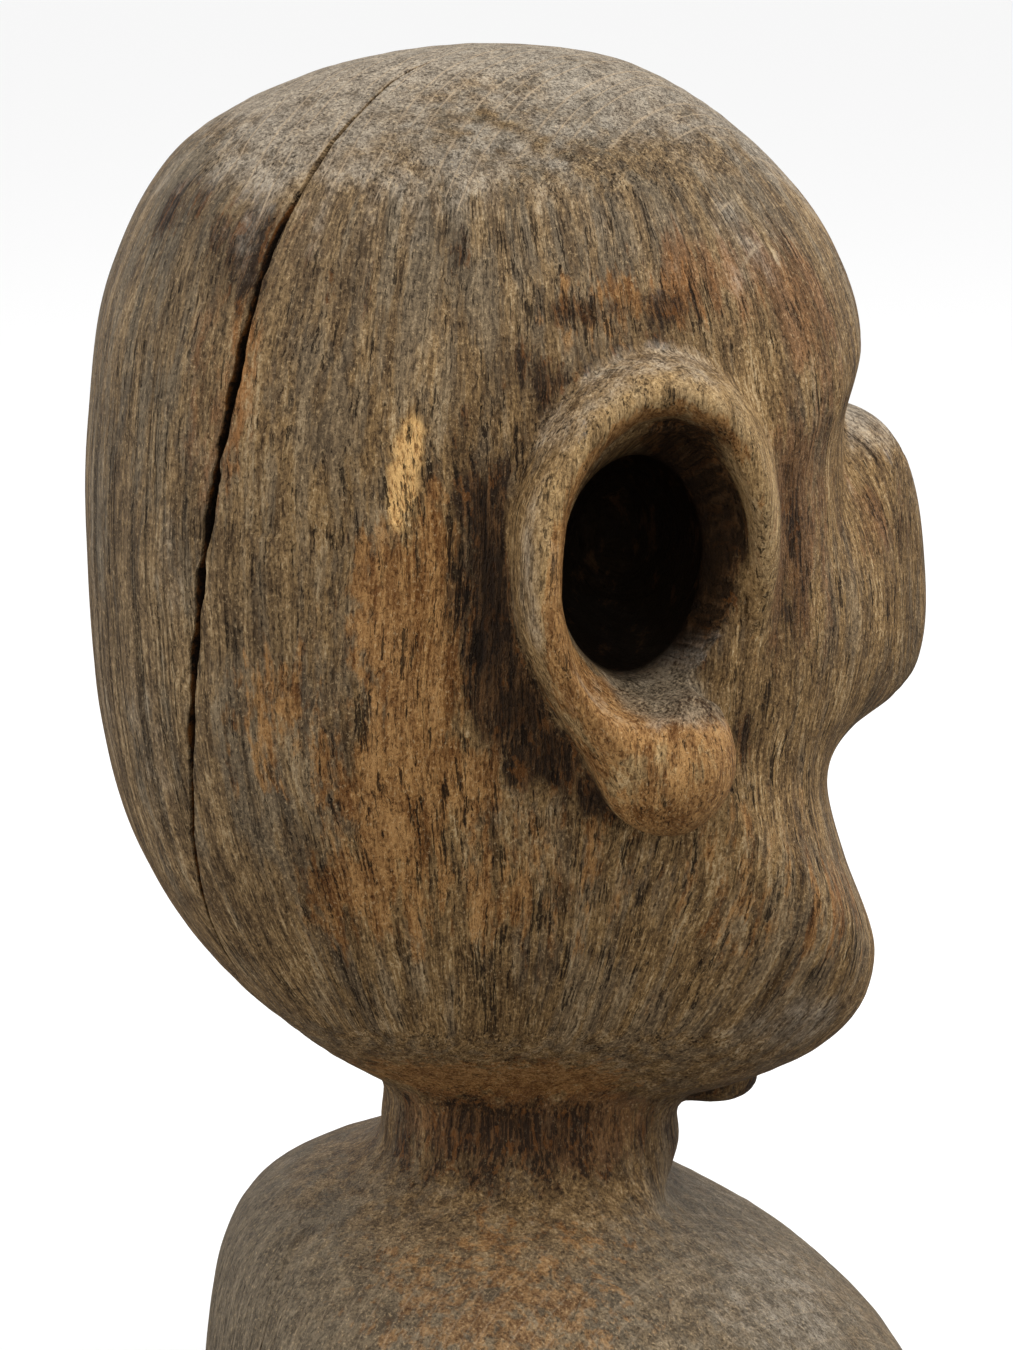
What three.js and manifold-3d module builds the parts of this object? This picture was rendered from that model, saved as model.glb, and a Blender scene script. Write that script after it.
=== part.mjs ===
// The head and shoulders of a carved wooden female figure, cut flat below the shoulders as a bust.
// It is one piece of hardwood: a large smooth head, a block-like nose, two cupped ears round deep
// holes, a short neck and a rounded torso, with a drying crack down the back of the head.
// Millimetres, +Z up, origin on the flat underside below the middle of the head. The figure faces
// -Y and its right side is -X.
import * as THREE from "three";
import { mergeVertices } from "three/addons/utils/BufferGeometryUtils.js";
import Module from "manifold-3d";

// Driving dimensions
const HEAD_MIDDLE = new THREE.Vector3(0, 4, 175);
const HEAD_HALF_WIDTH = 57;
const HEAD_ROUNDNESS = 2.4;
const JAW_NARROWING = 0.12;
const HEAD_HALF_HEIGHT = 92;

// The head's outline from the side: degrees up from straight ahead, and distance from its middle
const HEAD_OUTLINE = [
  [0, 61],
  [12, 62],
  [20, 64],
  [26, 67.4],
  [33, 75],
  [45, 81.6],
  [63, 86.6],
  [74, 89],
  [85, 89],
  [110, 88.7],
  [125, 88],
  [140, 81.2],
  [158, 71.9],
  [180, 67.3],
  [200, 69.7],
  [222, 77.1],
  [245, 85.3],
  [262, 92],
  [280, 96],
  [297, 101.7],
  [308, 102.6],
  [315, 95.8],
  [321, 79.4],
  [328, 69],
  [340, 64.5],
];

// At each height, the y of the torso's widest place, and the radius ahead of it, behind it and
// to its side
const TORSO_BOXINESS = 2.2;
const TORSO_ROWS = [
  { z: 104, middle: -4, front: 27, back: 26, side: 24.5 },
  { z: 88, middle: -4, front: 26, back: 25, side: 23 },
  { z: 78, middle: -4, front: 26, back: 26, side: 24 },
  { z: 73, middle: -4, front: 26.3, back: 27, side: 26 },
  { z: 69, middle: -2, front: 27, back: 30.5, side: 31 },
  { z: 65, middle: 1, front: 29, back: 37.2, side: 41.5 },
  { z: 58, middle: 3, front: 41, back: 43.5, side: 55.5 },
  { z: 48, middle: 4, front: 58.3, back: 46.7, side: 66.4 },
  { z: 34, middle: 3, front: 72, back: 50, side: 74 },
  { z: 17, middle: 2, front: 80, back: 52, side: 78 },
  { z: 0, middle: 2, front: 83, back: 52, side: 80 },
];

// The nose is a rounded block that leans forward towards its foot.
const NOSE = {
  y: -54.5,
  z: 175.8,
  halfWidth: 13,
  halfDepth: 18.5,
  halfHeight: 27,
  lean: 0.09,
  rootNarrowing: 0.2,
  spread: 1.2,
  boxiness: 2.75,
};
const EYE = { x: 15, y: -55, z: 213.5, radius: 3, depth: 9 };
const MOUTH = { y: -55.5, z: 139, halfWidth: 13, halfHeight: 1.3, depth: 3 };
const JAW_NUB = { y: -36.5, z: 82.6, halfWidth: 8, halfDepth: 8.3, halfHeight: 4.6 };

// The crest of the right ear's rim, from its front end over the top and down to the lobe's tip:
// how far out, y and z, half its thickness, and how deep it stands into the head
const EAR_RIM = [
  { out: 49, y: -33.2, z: 171, thick: 3.2, deep: 8 },
  { out: 53.5, y: -34.3, z: 184, thick: 3.8, deep: 10 },
  { out: 57, y: -32.6, z: 196.5, thick: 4.3, deep: 11 },
  { out: 59, y: -27.6, z: 207.3, thick: 4.9, deep: 12 },
  { out: 61, y: -19.5, z: 212.7, thick: 5.2, deep: 12 },
  { out: 63.5, y: -10.5, z: 211.8, thick: 5.2, deep: 12 },
  { out: 66.5, y: -2.2, z: 205, thick: 4.8, deep: 13 },
  { out: 68.5, y: 2.2, z: 196.5, thick: 4.5, deep: 14 },
  { out: 69.5, y: 3.5, z: 187, thick: 4.3, deep: 14 },
  { out: 69.5, y: 2.2, z: 176.5, thick: 4.4, deep: 14 },
  { out: 69, y: -3.2, z: 166, thick: 5, deep: 14 },
  { out: 68, y: -9.5, z: 157.5, thick: 6.2, deep: 14 },
  { out: 66, y: -15, z: 152.5, thick: 7.5, deep: 13 },
];
const EAR_LOBE = { out: 57, y: -18, z: 153.6, halfWidth: 10.5, halfDepth: 11, halfHeight: 12.4 };

// The ear's hole from its mouth inwards: distance from the middle plane, middle, half sizes
const EAR_HOLE = [
  { out: 78, y: -14.5, z: 185.5, halfDepth: 17, halfHeight: 27 },
  { out: 66, y: -14.7, z: 185.3, halfDepth: 15, halfHeight: 24 },
  { out: 58, y: -15.2, z: 185.5, halfDepth: 14.6, halfHeight: 21.3 },
  { out: 51, y: -15.2, z: 185.3, halfDepth: 14.4, halfHeight: 19.2 },
  { out: 43, y: -12.8, z: 184.8, halfDepth: 12.2, halfHeight: 17 },
  { out: 34, y: -12.5, z: 184.5, halfDepth: 12.2, halfHeight: 16.5 },
  { out: 25, y: -12.5, z: 184, halfDepth: 10.8, halfHeight: 14.5 },
  { out: 17, y: -12.5, z: 183.5, halfDepth: 7.5, halfHeight: 10 },
  { out: 13, y: -12.5, z: 183.5, halfDepth: 3, halfHeight: 4 },
];

// The drying crack down the back of the right side: where it opens on the surface, and its width
const CRACK_DEPTH = 20;
const CRACK_PROUD = 6;
const CRACK = [
  { x: -20, y: 20.5, z: 262, width: 0.5 },
  { x: -33, y: 35, z: 249, width: 0.9 },
  { x: -39.5, y: 43.5, z: 235, width: 1.4 },
  { x: -43.5, y: 49.5, z: 214, width: 1.8 },
  { x: -43.3, y: 53.3, z: 197, width: 1.8 },
  { x: -41.2, y: 56, z: 174, width: 1.7 },
  { x: -37.4, y: 57, z: 152, width: 1.5 },
  { x: -31.6, y: 56.5, z: 135, width: 0.9 },
  { x: -21, y: 51.5, z: 114, width: 0.5 },
];

const wasm = await Module();
wasm.setup();

// A closed surface as a manifold-3d solid
function solid(geometry) {
  geometry.deleteAttribute("normal");
  geometry.deleteAttribute("uv");
  const merged = mergeVertices(geometry, 1e-4);
  return new wasm.Manifold(
    new wasm.Mesh({
      numProp: 3,
      vertProperties: merged.attributes.position.array,
      triVerts: new Uint32Array(merged.index.array),
    }),
  );
}

// The cubic between the middle two of four [at, value] knots
function hermite([x0, y0], [x1, y1], [x2, y2], [x3, y3], x) {
  const span = x2 - x1;
  const t = (x - x1) / span;
  const slope1 = ((y2 - y0) / (x2 - x0)) * span;
  const slope2 = ((y3 - y1) / (x3 - x1)) * span;
  return (
    y1 * (1 + 2 * t) * (1 - t) ** 2 +
    slope1 * t * (1 - t) ** 2 +
    y2 * t ** 2 * (3 - 2 * t) -
    slope2 * t ** 2 * (1 - t)
  );
}

// A smooth curve through [at, value] knots that repeats after one full turn
function turnCurve(knots, turn) {
  return (at) => {
    const a = ((at % turn) + turn) % turn;
    let i = knots.length - 1;
    while (i > 0 && knots[i][0] > a) i -= 1;
    const knot = (k) => {
      const wrapped = (k + knots.length) % knots.length;
      return [knots[wrapped][0] + turn * Math.floor(k / knots.length), knots[wrapped][1]];
    };
    return hermite(knot(i - 1), knot(i), knot(i + 1), knot(i + 2), a);
  };
}

// A closed ball whose points are put where place(direction) says
function ball(detail, place) {
  const geometry = new THREE.IcosahedronGeometry(1, detail);
  const points = geometry.attributes.position;
  const direction = new THREE.Vector3();
  for (let i = 0; i < points.count; i += 1) {
    direction.fromBufferAttribute(points, i).normalize();
    const p = place(direction);
    points.setXYZ(i, p.x, p.y, p.z);
  }
  return solid(geometry);
}

// An oval ball with the given half sizes
function oval(x, y, z, halfWidth, halfDepth, halfHeight) {
  return ball(3, (d) =>
    new THREE.Vector3(x + d.x * halfWidth, y + d.y * halfDepth, z + d.z * halfHeight),
  );
}

// A closed skin over rings of points, with a point at the middle of each end
function skin(rings) {
  const across = rings[0].length;
  const points = rings.flat();
  const first = points.length;
  const middle = (ring) =>
    ring.reduce((sum, p) => sum.add(p), new THREE.Vector3()).divideScalar(across);
  points.push(middle(rings[0]), middle(rings.at(-1)));
  const faces = [];
  for (let r = 0; r + 1 < rings.length; r += 1) {
    for (let c = 0; c < across; c += 1) {
      const a = r * across + c;
      const b = r * across + ((c + 1) % across);
      faces.push(a, b, b + across, a, b + across, a + across);
    }
  }
  const top = (rings.length - 1) * across;
  for (let c = 0; c < across; c += 1) {
    const next = (c + 1) % across;
    faces.push(next, c, first, top + c, top + next, first + 1);
  }
  const closed = (index) =>
    solid(new THREE.BufferGeometry().setFromPoints(points).setIndex(index));
  const made = closed(faces);
  return made.volume() > 0 ? made : closed(faces.reverse());
}

// The head: its side outline, carried over to a rounded width
function head() {
  const outline = turnCurve(HEAD_OUTLINE, 360);
  return ball(13, (d) => {
    const sideways = Math.abs(d.x) / HEAD_HALF_WIDTH;
    const inOutline = Math.hypot(d.y, d.z);
    const reach = outline(THREE.MathUtils.radToDeg(Math.atan2(d.z, -d.y)));
    const n = HEAD_ROUNDNESS;
    const size = (sideways ** n + (inOutline / reach) ** n) ** (-1 / n);
    const p = d.clone().multiplyScalar(size);
    p.x *= 1 - JAW_NARROWING * THREE.MathUtils.smoothstep(-p.z, 0, HEAD_HALF_HEIGHT);
    return p.add(HEAD_MIDDLE);
  });
}

// The value of one named measure of the torso's rows at height z
function torsoMeasure(name, z) {
  const knots = TORSO_ROWS.map((row) => [-row.z, row[name]]);
  const last = knots.length - 1;
  let i = last - 1;
  while (i > 0 && knots[i][0] > -z) i -= 1;
  const before = i > 0 ? knots[i - 1] : [2 * knots[0][0] - knots[1][0], knots[0][1]];
  const after =
    i + 2 <= last ? knots[i + 2] : [2 * knots[last][0] - knots[last - 1][0], knots[last][1]];
  return hermite(before, knots[i], knots[i + 1], after, -z);
}

function torso() {
  const across = 44;
  const levels = [104, 92, 84, 79, 75, 72, 69.5, 67, 64, 60, 55, 49, 42, 34, 25, 12, 0];
  const rings = levels.map((z) => {
    const [middle, front, back, side] = ["middle", "front", "back", "side"].map((name) =>
      torsoMeasure(name, z),
    );
    return Array.from({ length: across }, (_, c) => {
      const turn = (2 * Math.PI * c) / across;
      const x = Math.sin(turn);
      const y = -Math.cos(turn);
      const n = TORSO_BOXINESS;
      const r = (Math.abs(x / side) ** n + Math.abs(y / (y < 0 ? front : back)) ** n) ** (-1 / n);
      return new THREE.Vector3(r * x, middle + r * y, z);
    });
  });
  return skin(rings);
}

function nose() {
  return ball(5, (d) => {
    const n = NOSE.boxiness;
    const size =
      (Math.abs(d.x) ** 2.2 + (Math.abs(d.y) ** n + Math.abs(d.z) ** n) ** (2.2 / n)) ** (-1 / 2.2);
    const up = d.z * size;
    const ahead = d.y * size;
    const width = (1 - NOSE.rootNarrowing * (0.5 + 0.5 * up)) * (1 + NOSE.spread * (1 + ahead));
    return new THREE.Vector3(
      d.x * size * NOSE.halfWidth * width,
      NOSE.y + ahead * NOSE.halfDepth + NOSE.lean * up * NOSE.halfHeight,
      NOSE.z + up * NOSE.halfHeight,
    );
  });
}

// One ear's rim on the side named by sign: an oval section swept along the crest
function earRim(sign) {
  const crest = new THREE.CatmullRomCurve3(
    EAR_RIM.map((s) => new THREE.Vector3(s.out, s.y, s.z)),
    false,
    "centripetal",
  );
  const section = new THREE.CatmullRomCurve3(
    EAR_RIM.map((s) => new THREE.Vector3(s.thick, s.deep, 0)),
  );
  const stations = 30;
  const around = 10;
  const rings = [];
  for (let i = 0; i <= stations; i += 1) {
    const p = crest.getPoint(i / stations);
    const along = crest.getTangent(i / stations);
    const { x: thick, y: deep } = section.getPoint(i / stations);
    const across = new THREE.Vector2(along.z, -along.y).normalize();
    rings.push(
      Array.from({ length: around }, (_, c) => {
        const turn = (2 * Math.PI * c) / around;
        const aside = thick * Math.cos(turn);
        return new THREE.Vector3(
          sign * (p.x - deep + deep * Math.sin(turn)),
          p.y + across.x * aside,
          p.z + across.y * aside,
        );
      }),
    );
  }
  return skin(rings);
}

function earLobe(sign) {
  const { out, y, z, halfWidth, halfDepth, halfHeight } = EAR_LOBE;
  return oval(sign * out, y, z, halfWidth, halfDepth, halfHeight);
}

// One ear's hole, a funnel that narrows into a deep rounded hollow
function earHole(sign) {
  const around = 20;
  return skin(
    EAR_HOLE.map((s) =>
      Array.from({ length: around }, (_, c) => {
        const turn = (2 * Math.PI * c) / around;
        return new THREE.Vector3(
          sign * s.out,
          s.y + s.halfDepth * Math.cos(turn),
          s.z + s.halfHeight * Math.sin(turn),
        );
      }),
    ),
  );
}

// One drilled eye, sunk straight into the face
function eye(sign) {
  const drill = new THREE.CylinderGeometry(EYE.radius, EYE.radius, EYE.depth, 20);
  return solid(drill.translate(sign * EYE.x, EYE.y, EYE.z));
}

// The crack as a blade that points at the head's middle and closes along its inner edge
function crack() {
  const path = new THREE.CatmullRomCurve3(CRACK.map((s) => new THREE.Vector3(s.x, s.y, s.z)));
  const widths = new THREE.CatmullRomCurve3(CRACK.map((s) => new THREE.Vector3(s.width, 0, 0)));
  const stations = 16;
  const rings = [];
  for (let i = 0; i <= stations; i += 1) {
    const p = path.getPoint(i / stations);
    const outward = p.clone().sub(HEAD_MIDDLE).normalize();
    const aside = path.getTangent(i / stations).cross(outward).normalize();
    const half = widths.getPoint(i / stations).x / 2;
    const corner = (out, side) =>
      p.clone().addScaledVector(outward, out).addScaledVector(aside, side);
    rings.push([
      corner(CRACK_PROUD, half),
      corner(-CRACK_DEPTH, half / 4),
      corner(-CRACK_DEPTH, -half / 4),
      corner(CRACK_PROUD, -half),
    ]);
  }
  return skin(rings);
}

let carving = head().add(torso()).add(nose());
carving = carving.add(
  oval(0, JAW_NUB.y, JAW_NUB.z, JAW_NUB.halfWidth, JAW_NUB.halfDepth, JAW_NUB.halfHeight),
);
for (const sign of [-1, 1]) {
  carving = carving.add(earRim(sign)).add(earLobe(sign)).subtract(earHole(sign)).subtract(eye(sign));
}
carving = carving.subtract(
  oval(0, MOUTH.y, MOUTH.z, MOUTH.halfWidth, MOUTH.depth, MOUTH.halfHeight),
);
carving = carving.subtract(crack());

const { vertProperties, triVerts, numProp } = carving.getMesh();
const geometry = new THREE.BufferGeometry();
geometry.setAttribute("position", new THREE.BufferAttribute(vertProperties, numProp));
geometry.setIndex(new THREE.BufferAttribute(triVerts, 1));
geometry.computeVertexNormals();

const wood = new THREE.MeshStandardMaterial({ color: 0x5f4c38, roughness: 0.72, metalness: 0 });
const figure = new THREE.Mesh(geometry, wood);
figure.name = "carved_figure";

const bust = new THREE.Group();
bust.add(figure);
export default bust;
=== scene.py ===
"""The head and shoulders of a weathered, carved wooden figure on a plain pale floor."""

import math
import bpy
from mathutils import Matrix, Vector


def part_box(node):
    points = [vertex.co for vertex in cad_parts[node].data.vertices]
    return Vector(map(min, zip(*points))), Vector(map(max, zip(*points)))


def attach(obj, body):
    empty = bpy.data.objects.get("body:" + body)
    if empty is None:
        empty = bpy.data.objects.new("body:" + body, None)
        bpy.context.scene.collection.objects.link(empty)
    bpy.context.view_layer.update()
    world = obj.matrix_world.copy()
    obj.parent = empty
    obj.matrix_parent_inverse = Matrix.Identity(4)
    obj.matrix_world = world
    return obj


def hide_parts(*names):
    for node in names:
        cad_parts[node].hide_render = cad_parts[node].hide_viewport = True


bl_info = {
    "name": "Carved Wooden Bust",
    "version": (1, 0, 0),
    "blender": (4, 5, 0),
    "location": "3D View > Sidebar > Carved Bust",
    "description": "Makes a weathered carved wooden head and shoulders round a packed model",
    "category": "Add Mesh",
}

from types import SimpleNamespace

import bmesh
import bpy
import numpy as np
from mathutils import Vector

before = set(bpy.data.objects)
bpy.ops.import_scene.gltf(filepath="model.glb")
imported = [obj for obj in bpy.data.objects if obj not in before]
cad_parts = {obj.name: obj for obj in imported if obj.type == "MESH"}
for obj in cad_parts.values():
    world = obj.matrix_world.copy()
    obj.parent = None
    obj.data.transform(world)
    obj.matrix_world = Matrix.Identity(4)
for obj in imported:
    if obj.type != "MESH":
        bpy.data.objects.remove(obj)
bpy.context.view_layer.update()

# The carving's sizes are in millimetres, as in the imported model, and meshes are made in metres.
MM = 0.001
FIGURE_NODE = "carved_figure"
WOOD_SLOT = "weathered_wood"

HEAD_MIDDLE = np.array([0.0, 4.0, 175.0])
HEAD_HALF_WIDTH = 57.0
HEAD_ROUNDNESS = 2.4
JAW_NARROWING = 0.12
HEAD_HALF_HEIGHT = 92.0

# The head's outline from the side: degrees up from straight ahead, and distance from its middle
HEAD_OUTLINE = [
    (0, 61), (12, 62), (20, 64), (26, 67.4), (33, 75), (45, 81.6), (63, 86.6), (74, 89),
    (85, 89), (110, 88.7), (125, 88), (140, 81.2), (158, 71.9), (180, 67.3), (200, 69.7),
    (222, 77.1), (245, 85.3), (262, 92), (280, 96), (297, 101.7), (308, 102.6), (315, 95.8),
    (321, 79.4), (328, 69), (340, 64.5),
]

# At each height, the y of the torso's widest place, and the radius ahead, behind and to the side
TORSO_TOP = 104.0
TORSO_BOXINESS = 2.2
TORSO_ROWS = [
    (104, -4, 27, 26, 24.5),
    (88, -4, 26, 25, 23),
    (78, -4, 26, 26, 24),
    (73, -4, 26.3, 27, 26),
    (69, -2, 27, 30.5, 31),
    (65, 1, 29, 37.2, 41.5),
    (58, 3, 41, 43.5, 55.5),
    (48, 4, 58.3, 46.7, 66.4),
    (34, 3, 72, 50, 74),
    (17, 2, 80, 52, 78),
    (0, 2, 83, 52, 80),
]

NOSE_MIDDLE = np.array([0.0, -54.5, 175.8])
NOSE_HALF = np.array([13.0, 18.5, 27.0])
NOSE_LEAN = 0.09
NOSE_ROOT_NARROWING = 0.2
NOSE_SPREAD = 1.2
NOSE_BOXINESS = 2.75
NOSE_ROUNDNESS = 2.2
EYE_MIDDLE = (15.0, 213.5)
EYE_RADIUS = 3.0
EYE_FLOOR_Y = -50.5
MOUTH_MIDDLE = np.array([0.0, -55.5, 139.0])
MOUTH_HALF = np.array([13.0, 3.0, 1.3])
NUB_MIDDLE = np.array([0.0, -36.5, 82.6])
NUB_HALF = np.array([8.0, 8.3, 4.6])

# The crest of an ear's rim from its front end over the top to the lobe: distance from the middle
# plane, y, z, half its thickness, and how deep it stands into the head
EAR_RIM = [
    (45, -30.5, 158, 3, 6),
    (49, -33.2, 171, 3.2, 8),
    (53.5, -34.3, 184, 3.8, 10),
    (57, -32.6, 196.5, 4.3, 11),
    (59, -27.6, 207.3, 4.9, 12),
    (61, -19.5, 212.7, 5.2, 12),
    (63.5, -10.5, 211.8, 5.2, 12),
    (66.5, -2.2, 205, 4.8, 13),
    (68.5, 2.2, 196.5, 4.5, 14),
    (69.5, 3.5, 187, 4.3, 14),
    (69.5, 2.2, 176.5, 4.4, 14),
    (69, -3.2, 166, 5, 14),
    (68, -9.5, 157.5, 6.2, 14),
    (66, -15, 152.5, 7.5, 13),
]
LOBE_MIDDLE = np.array([57.0, -18.0, 153.6])
LOBE_HALF = np.array([10.5, 11.0, 12.4])

# An ear's hole from its inner end to its mouth: distance from the middle plane, y and z of its
# middle, and its half depth and half height. It leans back by the shear.
HOLE_SHEAR = 0.14
EAR_HOLE = [
    (13, -12.5, 183.5, 3, 4),
    (17, -12.5, 183.5, 7.5, 10),
    (25, -12.5, 184, 11.2, 15.5),
    (34, -13, 183.8, 13.2, 18.6),
    (40, -13.6, 183.4, 13, 18.9),
    (43.2, -13.8, 183.2, 11.6, 17.6),
    (44.4, -13.9, 183.3, 11.8, 17.8),
    (51, -16.1, 185.2, 15, 20),
    (58, -16.1, 185.7, 15.6, 22.3),
    (66, -14.7, 185.3, 15.2, 24),
    (78, -14.5, 185.5, 17, 27),
]
# The ear's rim and hole lie within this box, and its crest is this far out, and less far ahead
EAR_BOX = (np.array([12.0, -45.0, 134.0]), np.array([76.0, 16.0, 226.0]))
CREST_OUT = 69
CREST_SLOPE = 0.42

# How wide the hollow corners and the rounded edges are where two forms meet. The nose's corner
# widens from the brow down to the nose's foot.
NECK_FILLET = 5.0
BROW_FILLET = 2.0
NOSE_FILLET = 12.0
BROW_Z = 196
NOSE_FOOT_Z = 172
NUB_FILLET = 3.0
LOBE_FILLET = 4.0
EAR_FILLET = 2.6
RIM_EDGE = 1.1
DRILLED_EDGE = 0.8

GRID_LOW = np.array([-82.3, -83.7, -2.6])
GRID_HIGH = np.array([82.3, 73.9, 266.7])

# The stage: how far the floor reaches, the heights from straight down to straight up between
# which the light from below gives way to the sky's, what the lamps point at, in metres, and the
# camera's sensor and lens
FLOOR_REACH = 12000
HORIZON = (-0.17, -0.03)
LAMP_AIM = (0, 0, 0.15)
SENSOR_WIDTH = 36.0
LENS = 108.27

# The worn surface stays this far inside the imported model's box, apart from spare wood below the
# underside, which is cut off flat. Edges sharper than this many degrees stay sharp.
BOX_MARGIN = 0.01
SPARE_BELOW = 5.0
SHARP_ANGLE = 55

# Nearer to its middle than this share of its size, a form's distance is only roughly known
LEAST_SHARE = 0.05


def smooth_curve(knots, x):
    """A smooth curve through (at, value) knots, read at x. The first and last knots only steer it."""
    at, value = (np.array(column, float) for column in zip(*knots))
    i = np.clip(np.searchsorted(at, x, side="right") - 1, 1, len(at) - 3)
    span = at[i + 1] - at[i]
    t = (x - at[i]) / span
    slope_in = (value[i + 1] - value[i - 1]) / (at[i + 1] - at[i - 1]) * span
    slope_out = (value[i + 2] - value[i]) / (at[i + 2] - at[i]) * span
    return (
        value[i] * (1 + 2 * t) * (1 - t) ** 2
        + slope_in * t * (1 - t) ** 2
        + value[i + 1] * t**2 * (3 - 2 * t)
        - slope_out * t**2 * (1 - t)
    )


def smooth_path(rows, count=None, spacing=1.0):
    """Smooth curves through the rows' numbers, read evenly along the path of their first three."""
    rows = np.array(rows, float)
    steps = np.linalg.norm(np.diff(rows[:, :3], axis=0), axis=1)
    along = np.concatenate([[0], np.cumsum(steps)])
    at = np.linspace(0, along[-1], count or max(int(along[-1] / spacing), 4))
    along = np.concatenate([[-1], along, [along[-1] + 1]])
    rows = np.concatenate([rows[:1], rows, rows[-1:]])
    return np.stack([smooth_curve(list(zip(along, column)), at) for column in rows.T], axis=1)


def smoothstep(x, low, high):
    """0 at low, 1 at high and smooth between. With high below low it falls instead."""
    t = np.clip((x - low) / (high - low), 0, 1)
    return t * t * (3 - 2 * t)


def blend_union(a, b, width):
    """Joins two distances, with a hollow corner about as wide as given."""
    t = np.clip(0.5 + 0.5 * (b - a) / width, 0, 1)
    return b * (1 - t) + a * t - width * t * (1 - t)


def blend_cut(a, b, width):
    """Cuts distance b out of distance a, with a rounded edge."""
    return -blend_union(-a, b, width)


def oval_distance(p, middle, half):
    """Distance to an oval ball's surface, negative inside it."""
    q = p - middle
    near = np.linalg.norm(q / half, axis=1)
    slope = np.linalg.norm(q / half**2, axis=1) + 1e-6
    return near * (near - 1) / slope


def torso_knots(place):
    """Knots from the top down for one number of the torso's rows."""
    knots = [(-row[0], row[place]) for row in TORSO_ROWS]
    first = (2 * knots[0][0] - knots[1][0], knots[0][1])
    last = (2 * knots[-1][0] - knots[-2][0], knots[-1][1])
    return [first] + knots + [last]


OUTLINE_KNOTS = [(at - 360, r) for at, r in HEAD_OUTLINE[-2:]] + HEAD_OUTLINE
OUTLINE_KNOTS += [(at + 360, r) for at, r in HEAD_OUTLINE[:2]]
TORSO_KNOTS = [torso_knots(place) for place in range(1, 5)]
RIM_PATH = smooth_path(EAR_RIM, count=60)


def head_distance(p):
    """Distance to the head, measured along the line from its middle."""
    q = p - HEAD_MIDDLE
    narrow = 1 - JAW_NARROWING * smoothstep(-q[:, 2], 0, HEAD_HALF_HEIGHT)
    angle = np.degrees(np.arctan2(q[:, 2], -q[:, 1])) % 360
    reach = smooth_curve(OUTLINE_KNOTS, angle)
    sideways = np.abs(q[:, 0]) / (HEAD_HALF_WIDTH * narrow)
    upright = np.hypot(q[:, 1], q[:, 2]) / reach
    n = HEAD_ROUNDNESS
    size = np.maximum((sideways**n + upright**n) ** (1 / n), LEAST_SHARE)
    return np.linalg.norm(q, axis=1) * (1 - 1 / size)


def torso_section(p, z):
    """Distance in plan to the torso's section at height z."""
    down = np.clip(-z, -TORSO_TOP, 0)
    middle, front, back, side = (smooth_curve(knots, down) for knots in TORSO_KNOTS)
    y = p[:, 1] - middle
    depth = np.where(y < 0, front, back)
    n = TORSO_BOXINESS
    size = np.maximum((np.abs(p[:, 0] / side) ** n + np.abs(y / depth) ** n) ** (1 / n), LEAST_SHARE)
    return np.hypot(p[:, 0], y) * (1 - 1 / size)


def torso_distance(p):
    """Distance to the torso, measured across its slope."""
    here = torso_section(p, p[:, 2])
    slope = (torso_section(p, p[:, 2] + 1) - torso_section(p, p[:, 2] - 1)) / 2
    return np.maximum(here / np.sqrt(1 + slope**2), p[:, 2] - TORSO_TOP)


def nose_distance(p):
    """Distance to the nose, a rounded block that leans ahead at its foot and spreads at its back."""
    q = (p - NOSE_MIDDLE) / NOSE_HALF
    up = np.clip(q[:, 2], -1, 1)
    ahead = q[:, 1] - NOSE_LEAN * q[:, 2] * NOSE_HALF[2] / NOSE_HALF[1]
    width = 1 - NOSE_ROOT_NARROWING * (0.5 + 0.5 * up)
    width *= 1 + NOSE_SPREAD * (1 + np.clip(ahead, -1, 1))
    across = q[:, 0] / width
    n, m = NOSE_BOXINESS, NOSE_ROUNDNESS
    upright = np.abs(ahead) ** n + np.abs(q[:, 2]) ** n
    size = np.maximum((np.abs(across) ** m + upright ** (m / n)) ** (1 / m), LEAST_SHARE)
    return np.linalg.norm(p - NOSE_MIDDLE, axis=1) * (1 - 1 / size)


def rim_distance(p):
    """Distance to the ear's rim, an oval crest on a wall that runs into the head."""
    start = RIM_PATH[:-1, 1:3]
    step = RIM_PATH[1:, 1:3] - start
    away = p[:, None, 1:3] - start
    t = np.clip((away * step).sum(2) / (step**2).sum(1), 0, 1)
    gap = np.linalg.norm(away - t[:, :, None] * step, axis=2)
    nearest = gap.argmin(1)
    rows = np.arange(len(p))
    t = t[rows, nearest][:, None]
    gap = gap[rows, nearest]
    here = RIM_PATH[nearest] * (1 - t) + RIM_PATH[nearest + 1] * t
    crest, thick, deep = here[:, 0], here[:, 3], here[:, 4]
    up = np.maximum(np.abs(p[:, 0]) - (crest - deep), 0)
    near = np.hypot(gap / thick, up / deep)
    slope = np.hypot(gap / thick**2, up / deep**2) + 1e-6
    return near * (near - 1) / slope


def hole_distance(p):
    """Distance to the wall of an ear's hole, negative in the hole."""
    out = np.abs(p[:, 0])
    at, *columns = (np.array(column, float) for column in zip(*EAR_HOLE))
    y, z, half_depth, half_height = (np.interp(out, at, column) for column in columns)
    q = np.stack([p[:, 1] - y, p[:, 2] - z + HOLE_SHEAR * (p[:, 1] - y)], axis=1)
    size = np.maximum(np.hypot(q[:, 0] / half_depth, q[:, 1] / half_height), LEAST_SHARE)
    return np.maximum(np.linalg.norm(q, axis=1) * (1 - 1 / size), at[0] - out)


def mirrored(p):
    """The points, with those on the right side set over to the left side."""
    return np.stack([np.abs(p[:, 0]), p[:, 1], p[:, 2]], axis=1)


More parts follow.
